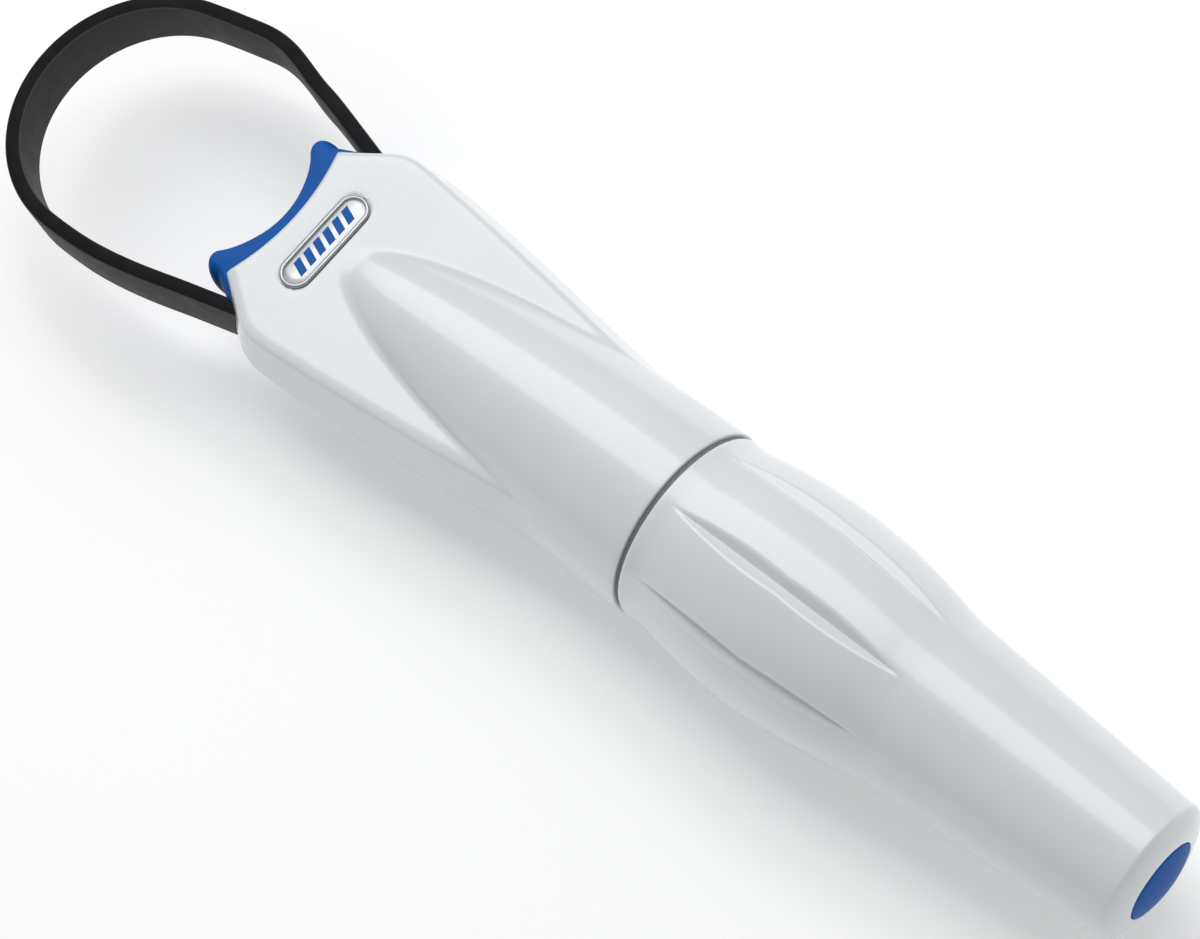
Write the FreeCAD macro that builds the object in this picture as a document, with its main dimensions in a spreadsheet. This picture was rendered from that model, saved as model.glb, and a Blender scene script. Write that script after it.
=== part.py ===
import FreeCAD, Part
import math
import os
import re
import Sketcher

# Strap jar opener with a twist handle, in millimetres.
# Every piece is drawn about the twist axis: X runs along it towards the strap loop, X = 0 is the
# seam between the front housing and the grip, and Z is up. Each piece's Placement then carries it
# to the object's own frame, whose origin is under the middle of the object on the table.

SIZES = {
    "seam_offset": -32.6, "axis_height": 21.62,
    # front housing
    "seam_radius": 20, "seam_half_gap": 0.5, "wall": 1.8, "barrel_bow": 923.5,
    "barrel_drop": 0.61, "barrel_span": 60, "barrel_end": 88, "head_flat": 9.3,
    "waist_station": 24, "waist_width": 20.2, "neck_station": 46, "neck_width": 22.7,
    "cheek_station": 68, "cheek_width": 25.2, "brow_station": 85, "brow_width": 26.5,
    "rear_width": 19.6, "shoulder_width": 25.6, "corner_station": 107.6, "corner_width": 17.7,
    "shoulder_slope": 0.653, "mouth_station": 104.1, "side_inset": 3.3, "shoulder_inset": 2.5,
    "front_inset": 2, "cavity_start": 11, "bush_web_end": 3.5, "washer_web_start": 8.4,
    "flange_pocket_radius": 16.3, "nose_bore_radius": 8.4,
    # strap and what guides it
    "loop_station": 146.3, "loop_radius": 26, "loop_flat_end": 140, "loop_bend_radius": 95,
    "strap_angle": 14.5, "strap_thickness": 3.2, "strap_width": 11.4, "slot_clearance": 0.5,
    "anchor_station": 64.3, "anchor_offset": 11.2, "bead_radius": 2.6, "anchor_pin_radius": 1.4,
    "guide_station": 90, "guide_offset": 21.25, "guide_pin_radius": 1.5, "guide_pin_half": 6.4,
    # saddle pad and badge
    "pad_half": 7.2, "pad_stand": 2.4, "pad_lobe_radius": 3.2, "pad_lobe_station": 110,
    "pad_lobe_width": 15.1, "tongue_half_width": 9.5, "tongue_half": 2.2, "tongue_depth": 4,
    "badge_station": 93.1, "badge_half_length": 7.9, "badge_radius": 3.6, "badge_rim": 0.7,
    "badge_depth": 0.5, "badge_height": 0.55, "mark_bars": 4, "mark_pitch": 3.6,
    "mark_bar_width": 1.3, "mark_bar_length": 3.4, "mark_height": 0.2, "mark_slant": 20,
    # drive train
    "flange_rear": 4.2, "flange_front": 7.2, "flange_radius": 16, "hub_neck_radius": 11,
    "hub_nose_radius": 8, "hub_nose_end": 16, "hub_neck_end": -3, "hub_tail_end": -25.5,
    "shank_radius": 4, "shank_end": -7.8, "hub_screw_radius": 2.5, "hub_pilot_end": -10,
    "running_gap": 0.05, "bush_radius": 13, "bush_start": 0.6, "bush_end": 4.1,
    "washer_start": 7.3, "washer_end": 8.3, "washer_radius": 15.8, "washer_bore": 8.6,
    "thread_radius": 5, "thread_root": 3.7, "thread_start": 17.5, "thread_end": 74,
    "thread_lead": 8, "thread_crest": 1.2, "journal_radius": 3, "journal_end": 83,
    "front_bush_start": 76, "front_bush_end": 82, "front_bush_radius": 5.5,
    "pillar_half_width": 8, "cross_pin_station": 13.5, "cross_pin_radius": 1.25,
    "cross_pin_half": 7.8,
    # carriage
    "block_rear": 50, "block_front": 62, "block_half_width": 8.4, "block_half_height": 10,
    "nut_radius": 6.6, "nut_rear": 48.4, "nut_flange_radius": 8, "nut_front": 64,
    "nut_gap": 0.1, "ring_rear": 48.6, "ring_front": 49.8, "lug_inner": 5.8, "lug_outer": 7.2,
    "lug_rear": 56, "key_half_width": 1.5, "key_gap": 0.4, "key_top": 8.9, "key_end": 72,
    # fasteners of the housing
    "screw_shank": 1.3, "screw_head": 2.3, "screw_seat": -5, "screw_head_height": 1.8,
    "screw_tip": 5.5, "rear_screw_station": 44, "rear_screw_offset": 17.4,
    "front_screw_station": 92, "front_screw_offset": 8, "boss_radius": 3.1,
    "dowel_station": 70, "dowel_offset": 20.3, "dowel_radius": 1.2, "dowel_half": 3,
    "dowel_boss": 2.4,
    # seam ring
    "seam_ring_outer": 19.3, "seam_ring_inner": 17.5, "seam_ring_depth": 1.5,
    "seam_ring_stand": 0.4,
    # grip
    "grip_front_radius": 19.8, "lobe_front": -4.2, "lobe_front_radius": 19.45,
    "lobe_rear": -54.9, "lobe_rear_radius": 17.75, "lobe_rise": 3, "lobe_count": 8,
    "lobe_turn": -7.3, "notch_angle": 52, "notch_height": 5, "notch_depth": 1.35,
    "tail_station": -106.2,
    "tail_radius": 13.9, "tail_end": -108.9, "tail_face_radius": 8.2, "tail_round": 4,
    "grip_wall": 2.4, "tail_wall": -105.5, "cap_opening": 7.2, "cap_recess": -108,
    "core_front": -1, "core_plate": -3.5, "core_web": -26, "core_rear": -30,
    "core_radius": 14, "core_ribs": 8, "core_rib_width": 1.8,
    "hub_screw_head": 4.5, "hub_washer_radius": 6.5, "hub_washer_height": 1,
    "hub_screw_head_height": 4, "cap_radius": 7.9, "cap_rim_end": -109, "cap_top": -110.3,
    "cap_skirt_radius": 7.1, "cap_skirt_wall": 1.2, "cap_skirt_end": -102,
    "cap_ring_station": -104.6, "cap_ring_major": 7.2, "cap_ring_minor": 0.6,
}

doc = FreeCAD.newDocument("jar_opener")
sheet = doc.addObject("Spreadsheet::Sheet", "params")
for row, (alias, value) in enumerate(SIZES.items(), start=1):
    sheet.set("A%d" % row, alias)
    sheet.set("B%d" % row, str(value))
    sheet.setAlias("B%d" % row, alias)
doc.recompute()

V = FreeCAD.Vector
UP = V(0, 0, 1)
TURNS = {"x": FreeCAD.Rotation(V(0, 1, 0), 90), "z": FreeCAD.Rotation()}
subparts = []


def bound(text):
    # "wall + 1" becomes "params.wall + 1"
    return re.sub(r"[a-z][a-z_]*", lambda word: "params." + word.group(), text)


def size(text):
    return float(sheet.evalExpression(bound(text)))


def subpart(obj, label, turn=0):
    # names the finished piece and carries it from the twist axis to the object's frame
    obj.Label = label
    obj.Placement = FreeCAD.Placement(V(0, 0, 0), FreeCAD.Rotation(V(1, 0, 0), turn))
    obj.setExpression(".Placement.Base.x", bound("seam_offset"))
    obj.setExpression(".Placement.Base.z", bound("axis_height"))
    subparts.append(obj)
    return obj


def put(obj, at, axis="z"):
    obj.Placement = FreeCAD.Placement(V(0, 0, 0), TURNS[axis])
    for letter, text in zip("xyz", at):
        obj.setExpression(".Placement.Base." + letter, bound(text))
    return obj


def rod(name, radius, start, end, axis="x", at=("0", "0", "0")):
    # a round bar from start to end along one axis
    obj = doc.addObject("Part::Cylinder", name)
    obj.setExpression("Radius", bound(radius))
    obj.setExpression("Height", bound("(%s) - (%s)" % (end, start)))
    place = list(at)
    place["xyz".index(axis)] = start
    return put(obj, place, axis)


def block(name, low, high):
    # a box between two corners
    obj = doc.addObject("Part::Box", name)
    for side, first, last in zip(("Length", "Width", "Height"), low, high):
        obj.setExpression(side, bound("(%s) - (%s)" % (last, first)))
    return put(obj, low)


def hexagon(name, corner, start, end):
    obj = doc.addObject("Part::Prism", name)
    obj.Polygon = 6
    obj.setExpression("Circumradius", bound(corner))
    obj.setExpression("Height", bound("(%s) - (%s)" % (end, start)))
    return put(obj, (start, "0", "0"), "x")


def fused(name, pieces):
    obj = doc.addObject("Part::MultiFuse", name)
    obj.Shapes = pieces
    return obj


def cut(name, base, tool):
    obj = doc.addObject("Part::Cut", name)
    obj.Base = base
    obj.Tool = tool
    return obj


def common(name, pieces):
    obj = doc.addObject("Part::MultiCommon", name)
    obj.Shapes = pieces
    return obj


def group(name, pieces):
    obj = doc.addObject("Part::Compound", name)
    obj.Links = pieces
    return obj


def tube(label, outer, inner, start, end):
    skin = rod(label + "_skin", outer, start, end)
    bore = rod(label + "_bore", inner, start, end)
    return subpart(cut(label, skin, bore), label)


def feature(label, shape):
    obj = doc.addObject("Part::Feature", label)
    obj.Shape = shape
    return subpart(obj, label)


def origin_item(body, role):
    for item in body.Origin.OriginFeatures:
        if item.Role == role:
            return item
    raise ValueError(role)


def sketch_on(body, name, role):
    sketch = body.newObject("Sketcher::SketchObject", name)
    sketch.AttachmentSupport = [(origin_item(body, role), "")]
    sketch.MapMode = "FlatFace"
    return sketch


def pin_point(sketch, line, along, across):
    # ties the first end of a line to sheet values
    first = sketch.addConstraint(Sketcher.Constraint("DistanceX", line, 1, size(along)))
    sketch.setExpression("Constraints[%d]" % first, bound(along))
    if across == "0":
        sketch.addConstraint(Sketcher.Constraint("PointOnObject", line, 1, -1))
        return
    second = sketch.addConstraint(Sketcher.Constraint("DistanceY", line, 1, size(across)))
    sketch.setExpression("Constraints[%d]" % second, bound(across))


def closed_polygon(sketch, corners):
    points = [V(size(along), size(across), 0) for along, across in corners]
    count = len(points)
    for index in range(count):
        line = Part.LineSegment(points[index], points[(index + 1) % count])
        sketch.addGeometry(line, False)
    for index in range(count):
        sketch.addConstraint(Sketcher.Constraint("Coincident", index, 2, (index + 1) % count, 1))
    for index, (along, across) in enumerate(corners):
        pin_point(sketch, index, along, across)


def revolved(body, name, corners):
    # corners are (distance along the axis, radius)
    sketch = sketch_on(body, name + "_profile", "XZ_Plane")
    closed_polygon(sketch, corners)
    turned = body.newObject("PartDesign::Revolution", name)
    turned.Profile = sketch
    turned.ReferenceAxis = (sketch, ["H_Axis"])
    turned.Angle = 360


def turned_piece(label, corners):
    body = doc.addObject("PartDesign::Body", label)
    revolved(body, label + "_turned", corners)
    return subpart(body, label)


def barrel_radius(station):
    bow = station ** 2 / size("barrel_bow")
    return size("seam_radius") - bow - size("barrel_drop") * (station / size("barrel_span")) ** 4


def barrel(start, inset, steps=8):
    # the round part of the housing, a little thinner by inset
    end = size("barrel_end")
    stations = [start + (end - start) * step / steps for step in range(steps + 1)]
    curve = Part.BSplineCurve()
    curve.interpolate([V(station, 0, barrel_radius(station) - inset) for station in stations])
    first = V(start, 0, barrel_radius(start) - inset)
    last = V(end, 0, barrel_radius(end) - inset)
    edges = [
        Part.makeLine(V(start, 0, 0), first),
        curve.toShape(),
        Part.makeLine(last, V(end, 0, 0)),
        Part.makeLine(V(end, 0, 0), V(start, 0, 0)),
    ]
    return Part.Face(Part.Wire(edges)).revolve(V(0, 0, 0), V(1, 0, 0), 360)


def head_outline(start, level, side, shoulder, front):
    # the head seen from above at one level, drawn in by three insets
    corner_x = size("corner_station") - front
    slope = size("shoulder_slope")
    corner_y = size("corner_width") + slope * front - math.hypot(1, slope) * shoulder
    shoulder_y = size("shoulder_width") - shoulder
    shoulder_x = corner_x - (shoulder_y - corner_y) / slope
    flank = [V(start, size("rear_width") - side, level)]
    for name in ("waist", "neck", "cheek", "brow"):
        station = size(name + "_station")
        flank.append(V(station, size(name + "_width") - side, level))
    flank.append(V(shoulder_x, shoulder_y, level))
    other = [V(point.x, -point.y, level) for point in reversed(flank)]
    corner = V(corner_x, corner_y, level)
    corner_other = V(corner_x, -corner_y, level)
    mouth = V(size("mouth_station") - front, 0, level)
    curves = []
    for points in (flank, other):
        curve = Part.BSplineCurve()
        curve.interpolate(points)
        curves.append(curve.toShape())
    return Part.Wire([
        curves[0],
        Part.makeLine(flank[-1], corner),
        Part.Arc(corner, mouth, corner_other).toShape(),
        Part.makeLine(corner_other, other[0]),
        curves[1],
        Part.makeLine(other[-1], flank[0]),
    ])


def slab(start, inset):
    # the flat head, widest at the parting plane, drawn in by inset
    top = size("head_flat") - inset
    share = top / size("head_flat")
    low = head_outline(start, 0, inset, inset, inset)
    high = head_outline(
        start, top, inset + size("side_inset") * share,
        inset + size("shoulder_inset") * share, inset + size("front_inset") * share)
    upper = Part.makeLoft([low, high], True, True)
    lower = upper.mirror(V(0, 0, 0), V(0, 0, 1))
    return upper.fuse(lower)


def housing_body(start, inset):
    return barrel(start, inset).fuse(slab(start, inset)).removeSplitter()


def bar(radius, start, end, axis=V(1, 0, 0), at=V(0, 0, 0)):
    return Part.makeCylinder(radius, end - start, at + axis * start, axis)


def box_between(low, high):
    return Part.makeBox(high[0] - low[0], high[1] - low[1], high[2] - low[2], V(*low))


def pill(radius, half_length, bottom, top):
    # a round-ended bar seen from above, long across the tool
    ends = [bar(radius, bottom, top, V(0, 0, 1), V(size("badge_station"), side * half_length, 0))
            for side in (1, -1)]
    station = size("badge_station")
    middle = box_between((station - radius, -half_length, bottom),
                         (station + radius, half_length, top))
    return ends[0].fuse(ends[1]).fuse(middle).removeSplitter()


def slot_through_shoulder(side):
    # the straight slot that the strap runs out through
    gap = size("slot_clearance")
    half = size("strap_width") / 2 + gap
    thick = size("strap_thickness") + 2 * gap
    length = size("loop_flat_end") - size("anchor_station")
    tool = box_between((-length, -gap, -half), (0, thick - gap, half))
    bend_x, bend_y, angle = strap_bend()
    tool.rotate(V(0, 0, 0), V(0, 0, 1), math.degrees(angle))
    tool.translate(V(bend_x, bend_y, 0))
    front = size("corner_station")
    reach = box_between((size("front_screw_station"), 0, -half), (front, front, half))
    tool = tool.common(reach)
    if side < 0:
        tool = tool.mirror(V(0, 0, 0), V(0, 1, 0))
    return tool


def screw_places():
    places = []
    for name in ("rear_screw", "front_screw"):
        for side in (1, -1):
            places.append(V(size(name + "_station"), side * size(name + "_offset"), 0))
    return places


def dowel_places():
    return [V(size("dowel_station"), side * size("dowel_offset"), 0) for side in (1, -1)]


def guide_places():
    return [V(size("guide_station"), side * size("guide_offset"), 0) for side in (1, -1)]


def housing_shell(outer, cavity, upper):
    reach = size("seam_radius")
    inside = []
    for place in screw_places():
        inside.append(bar(size("boss_radius"), -reach, reach, UP, place))
    for place in dowel_places():
        inside.append(bar(size("dowel_boss"), -reach, reach, UP, place))
    key = size("key_half_width")
    for low, high in ((size("key_top"), reach), (-reach, -size("key_top"))):
        inside.append(box_between((size("cavity_start"), -key, low), (size("key_end"), key, high)))
    half = size("pillar_half_width")
    inside.append(box_between((size("front_bush_start"), -half, -reach),
                              (size("front_bush_end"), half, reach)))
    ribs = inside[0].multiFuse(inside[1:]).common(cavity)
    shell = outer.cut(cavity).fuse(ribs)
    gap = size("running_gap")
    tools = [
        bar(size("bush_radius") + gap, 0, size("bush_web_end")),
        bar(size("flange_pocket_radius"), size("bush_web_end"), size("washer_web_start")),
        bar(size("nose_bore_radius"), 0, size("cavity_start")),
        bar(size("front_bush_radius") + gap, size("front_bush_start"), size("front_bush_end")),
        bar(size("seam_ring_outer") + gap, 0, size("seam_ring_depth")).cut(
            bar(size("seam_ring_inner") - gap, 0, size("seam_ring_depth"))),
    ]
    for side in (1, -1):
        tools.append(slot_through_shoulder(side))
    for place in guide_places():
        pin = size("guide_pin_half") + gap
        tools.append(bar(size("guide_pin_radius") + gap, -pin, pin, UP, place))
    for place in dowel_places():
        pin = size("dowel_half") + gap
        tools.append(bar(size("dowel_radius") + gap, -pin, pin, UP, place))
    for place in screw_places():
        tools.append(bar(size("screw_shank") + gap, size("screw_seat"), size("screw_tip") + gap,
                         UP, place))
        tools.append(bar(size("screw_head") + 2 * gap, -reach, size("screw_seat"), UP, place))
    tools.append(box_between(
        (size("mouth_station") - size("tongue_depth"), -size("tongue_half_width") - gap,
         -size("tongue_half") - gap),
        (size("corner_station"), size("tongue_half_width") + gap, size("tongue_half") + gap)))
    floor = size("head_flat") - size("badge_depth")
    tools.append(pill(size("badge_radius") + gap, size("badge_half_length"), floor, reach))
    shell = shell.cut(tools)
    length = 2 * size("corner_station")
    half_space = box_between((-reach, -length, 0), (length, length, length))
    if not upper:
        half_space = half_space.mirror(V(0, 0, 0), UP)
    return shell.common(half_space).removeSplitter()


def make_housing():
    outer = housing_body(size("seam_half_gap"), 0)
    cavity = housing_body(size("cavity_start"), size("wall"))
    feature("housing_top", housing_shell(outer, cavity, True))
    feature("housing_bottom", housing_shell(outer, cavity, False))
    return outer


def strap_bend():
    # where the inner face of the strap stops bending and runs straight to the slot
    angle = math.radians(size("strap_angle"))
    bend = size("loop_bend_radius")
    bend_x = size("loop_flat_end") - bend * math.sin(angle)
    bend_y = size("loop_radius") - bend * (1 - math.cos(angle))
    return bend_x, bend_y, angle


def strap_edge(offset):
    # one long face of the strap, from one anchor round the loop to the other
    bend_x, bend_y, angle = strap_bend()
    bend = size("loop_bend_radius") + offset
    centre = V(size("loop_flat_end"), size("loop_radius") - size("loop_bend_radius"), 0)
    radius = size("loop_radius") + offset
    half_angle = angle / 2
    bend_end = centre + V(-bend * math.sin(angle), bend * math.cos(angle), 0)
    bend_middle = centre + V(-bend * math.sin(half_angle), bend * math.cos(half_angle), 0)
    flat_end = V(size("loop_flat_end"), radius, 0)
    flat_start = V(size("loop_station"), radius, 0)
    reach = (bend_end.x - size("anchor_station")) / math.cos(angle)
    tail = bend_end - V(math.cos(angle), math.sin(angle), 0) * reach
    side = [
        Part.makeLine(tail, bend_end),
        Part.Arc(bend_end, bend_middle, flat_end).toShape(),
        Part.makeLine(flat_end, flat_start),
    ]
    mirrored = [edge.mirror(V(0, 0, 0), V(0, 1, 0)) for edge in side]
    nose = Part.Arc(flat_start, V(size("loop_station") + radius, 0, 0),
                    V(flat_start.x, -flat_start.y, 0)).toShape()
    return side + [nose] + mirrored, tail


def anchor_place(side):
    # the middle of the strap's thickness where it meets its anchor pin
    bend_x, bend_y, angle = strap_bend()
    middle = size("strap_thickness") / 2
    start = V(bend_x - middle * math.sin(angle), bend_y + middle * math.cos(angle), 0)
    along = (start.x - size("anchor_station")) / math.cos(angle)
    place = start - V(math.cos(angle), math.sin(angle), 0) * along
    return V(place.x, side * place.y, 0)


def make_strap():
    inner, inner_tail = strap_edge(0)
    outer, outer_tail = strap_edge(size("strap_thickness"))
    closing = [
        Part.makeLine(inner_tail, outer_tail),
        Part.makeLine(V(inner_tail.x, -inner_tail.y, 0), V(outer_tail.x, -outer_tail.y, 0)),
    ]
    wire = Part.Wire(Part.__sortEdges__(inner + outer + closing))
    half = size("strap_width") / 2
    face = Part.Face(wire)
    face.translate(V(0, 0, -half))
    strap = face.extrude(V(0, 0, 2 * half))
    for side in (1, -1):
        place = anchor_place(side)
        strap = strap.fuse(bar(size("bead_radius"), -half, half, UP, place))
    for side in (1, -1):
        hole = size("anchor_pin_radius") + size("running_gap")
        strap = strap.cut(bar(hole, -half, half, UP, anchor_place(side)))
    feature("strap", strap.removeSplitter())
    pins = [bar(size("guide_pin_radius"), -size("guide_pin_half"), size("guide_pin_half"),
                UP, place) for place in guide_places()]
    feature("strap_guide_pins", Part.Compound(pins))


def make_pad(outer):
    half = size("pad_half")
    lobe = size("pad_lobe_radius")
    lobe_x = size("pad_lobe_station")
    lobe_y = size("pad_lobe_width")
    mouth = size("mouth_station") + size("pad_stand")
    front = V(mouth, 0, 0)
    upper = V(lobe_x, lobe_y, 0)
    # the front face is an arc that leaves both lobes smoothly
    reach = lobe_x - mouth
    radius = (reach ** 2 + lobe_y ** 2 - lobe ** 2) / (2 * (reach + lobe))
    centre = V(mouth + radius, 0, 0)
    touch = upper + (centre - upper).normalize() * lobe
    back_x = size("mouth_station") - size("front_inset")
    back_y = size("corner_width")
    tip = upper + V(0, 1, 0) * lobe
    side_tip = upper + V(1, 1, 0).normalize() * lobe
    edges = [
        Part.Arc(V(touch.x, -touch.y, 0), front, touch).toShape(),
        Part.Arc(touch, side_tip, tip).toShape(),
        Part.makeLine(tip, V(back_x, back_y, 0)),
        Part.makeLine(V(back_x, back_y, 0), V(back_x, -back_y, 0)),
        Part.makeLine(V(back_x, -back_y, 0), V(tip.x, -tip.y, 0)),
        Part.Arc(V(tip.x, -tip.y, 0), V(side_tip.x, -side_tip.y, 0),
                 V(touch.x, -touch.y, 0)).toShape(),
    ]
    face = Part.Face(Part.Wire(edges))
    face.translate(V(0, 0, -half))
    pad = face.extrude(V(0, 0, 2 * half)).cut(outer)
    tongue = box_between(
        (size("mouth_station") - size("tongue_depth"), -size("tongue_half_width"),
         -size("tongue_half")),
        (size("mouth_station") + size("pad_stand") / 2, size("tongue_half_width"),
         size("tongue_half")))
    feature("saddle_pad", pad.fuse(tongue).removeSplitter())


def make_badge():
    floor = size("head_flat") - size("badge_depth")
    top = size("head_flat") + size("badge_height")
    length = size("badge_half_length")
    inner = size("badge_radius") - size("badge_rim")
    plate_top = top - size("mark_height")
    rim = pill(size("badge_radius"), length, floor, top).cut(pill(inner, length, floor, top))
    feature("badge_bezel", rim)
    feature("badge_plate", pill(inner - size("running_gap"), length, floor, plate_top))
    bars = []
    count = int(size("mark_bars"))
    for index in range(count):
        across = (index - (count - 1) / 2) * size("mark_pitch")
        strip = box_between(
            (-size("mark_bar_length") / 2, -size("mark_bar_width") / 2, plate_top),
            (size("mark_bar_length") / 2, size("mark_bar_width") / 2, top))
        strip.rotate(V(0, 0, 0), UP, size("mark_slant"))
        strip.translate(V(size("badge_station"), across, 0))
        bars.append(strip)
    feature("badge_mark", Part.Compound(bars))


def make_housing_fasteners():
    screws = []
    for index, place in enumerate(screw_places()):
        at = [str(place.x), str(place.y), "0"]
        head = rod("screw_head_%d" % index, "screw_head", "screw_seat - screw_head_height",
                   "screw_seat", "z", at)
        shank = rod("screw_shank_%d" % index, "screw_shank", "screw_seat", "screw_tip", "z", at)
        socket = doc.addObject("Part::Prism", "screw_socket_%d" % index)
        socket.setExpression("Circumradius", bound("screw_shank"))
        socket.setExpression("Height", bound("screw_head_height / 2"))
        put(socket, (at[0], at[1], "screw_seat - screw_head_height"))
        whole = fused("screw_body_%d" % index, [head, shank])
        screws.append(cut("screw_%d" % index, whole, socket))
    subpart(group("housing_screws", screws), "housing_screws")
    dowels = [rod("dowel_%d" % index, "dowel_radius", "-dowel_half", "dowel_half", "z",
                  [str(place.x), str(place.y), "0"])
              for index, place in enumerate(dowel_places())]
    subpart(group("locating_dowels", dowels), "locating_dowels")


def make_drive_train():
    tube("rear_bush", "bush_radius", "hub_neck_radius + running_gap", "bush_start", "bush_end")
    tube("thrust_washer", "washer_radius", "washer_bore", "washer_start", "washer_end")
    tube("front_bush", "front_bush_radius", "journal_radius + running_gap",
         "front_bush_start", "front_bush_end")
    turned_piece("seam_ring", [
        ("-seam_ring_stand", "seam_ring_inner"), ("seam_ring_depth", "seam_ring_inner"),
        ("seam_ring_depth", "seam_ring_outer"), ("-seam_ring_stand", "seam_ring_outer")])

    hub = fused("hub_solid", [
        rod("hub_flange", "flange_radius", "flange_rear", "flange_front"),
        rod("hub_neck", "hub_neck_radius", "hub_neck_end", "flange_rear"),
        rod("hub_nose", "hub_nose_radius", "flange_front", "hub_nose_end"),
        hexagon("hub_tail", "hub_neck_radius", "hub_tail_end", "hub_neck_end")])
    holes = fused("hub_holes", [
        rod("hub_bore", "shank_radius + running_gap", "shank_end - running_gap", "hub_nose_end"),
        rod("hub_pilot", "hub_screw_radius + running_gap", "hub_tail_end", "hub_pilot_end"),
        rod("hub_cross_hole", "cross_pin_radius + running_gap / 2", "-hub_nose_radius - 1",
            "hub_nose_radius + 1", "z", ("cross_pin_station", "0", "0"))])
    subpart(cut("drive_hub", hub, holes), "drive_hub")

    pin = rod("cross_pin_bar", "cross_pin_radius", "-cross_pin_half", "cross_pin_half", "z",
              ("cross_pin_station", "0", "0"))
    subpart(group("cross_pin_group", [pin]), "cross_pin")
    make_lead_screw()


def make_lead_screw():
    # two starts, cut as two helical grooves into the full round bar
    start = size("thread_start")
    end = size("thread_end")
    lead = size("thread_lead")
    major = size("thread_radius")
    root = size("thread_root")
    bar_solid = bar(size("shank_radius"), size("shank_end"), start)
    bar_solid = bar_solid.fuse(bar(major, start, end))
    bar_solid = bar_solid.fuse(bar(size("journal_radius"), end, size("journal_end")))
    hole = bar(size("cross_pin_radius") + size("running_gap") / 2, -major, major, UP,
               V(size("cross_pin_station"), 0, 0))
    shape = bar_solid.cut(hole)
    helix = Part.makeHelix(lead, end - start + lead, major)
    top = lead / 4 - size("thread_crest") / 4
    bottom = top / 2
    over = major + 0.3
    for turn in (0, 180):
        profile = Part.makePolygon([
            V(over, 0, -top), V(root, 0, -bottom), V(root, 0, bottom), V(over, 0, top),
            V(over, 0, -top)])
        groove = Part.Wire(helix.Edges).makePipeShell([Part.Wire(profile)], True, True)
        groove.rotate(V(0, 0, 0), UP, turn)
        groove.rotate(V(0, 0, 0), V(0, 1, 0), 90)
        groove.translate(V(start - lead / 2, 0, 0))
        zone = bar(major + 1, start, end)
        shape = shape.cut(groove.common(zone))
    feature("lead_screw", shape)


def make_carriage():
    pins = [anchor_place(side) for side in (1, -1)]
    pin_y = str(round(pins[0].y, 4))
    solids = [block("carriage_core", ("block_rear", "-block_half_width", "-block_half_height"),
                    ("block_front", "block_half_width", "block_half_height"))]
    for name, low, high in (("upper", "lug_inner", "lug_outer"),
                            ("lower", "-lug_outer", "-lug_inner")):
        solids.append(block("lug_bar_" + name, ("lug_rear", "-%s - bead_radius" % pin_y, low),
                            ("anchor_station", "%s + bead_radius" % pin_y, high)))
        for side in ("", "-"):
            solids.append(rod("lug_end", "bead_radius", low, high, "z",
                              ("anchor_station", side + pin_y, "0")))
    holes = [rod("carriage_bore", "nut_radius + running_gap", "block_rear", "anchor_station"),
             rod("flange_seat", "nut_flange_radius + running_gap", "block_front",
                 "anchor_station")]
    for name, low, high in (("over", "key_top - key_gap", "block_half_height"),
                            ("under", "-block_half_height", "key_gap - key_top")):
        holes.append(block("key_slot_" + name, ("block_rear", "-key_half_width - key_gap", low),
                           ("block_front", "key_half_width + key_gap", high)))
    for side in ("", "-"):
        holes.append(rod("anchor_hole", "anchor_pin_radius + running_gap / 2", "-lug_outer",
                         "lug_outer", "z", ("anchor_station", side + pin_y, "0")))
    subpart(cut("carriage_block", fused("carriage_solid", solids), fused("carriage_holes", holes)),
            "carriage_block")

    nut = fused("nut_solid", [
        rod("nut_barrel", "nut_radius", "nut_rear", "nut_front"),
        rod("nut_flange", "nut_flange_radius", "block_front", "nut_front")])
    bore = rod("nut_bore", "thread_radius + nut_gap", "nut_rear", "nut_front")
    subpart(cut("travelling_nut", nut, bore), "travelling_nut")
    tube("nut_ring", "nut_flange_radius", "nut_radius + running_gap / 2", "ring_rear",
         "ring_front")
    anchors = [rod("anchor_pin", "anchor_pin_radius", "-lug_outer", "lug_outer", "z",
                   ("anchor_station", side + pin_y, "0")) for side in ("", "-")]
    subpart(group("strap_anchor_pins", anchors), "strap_anchor_pins")


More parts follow.
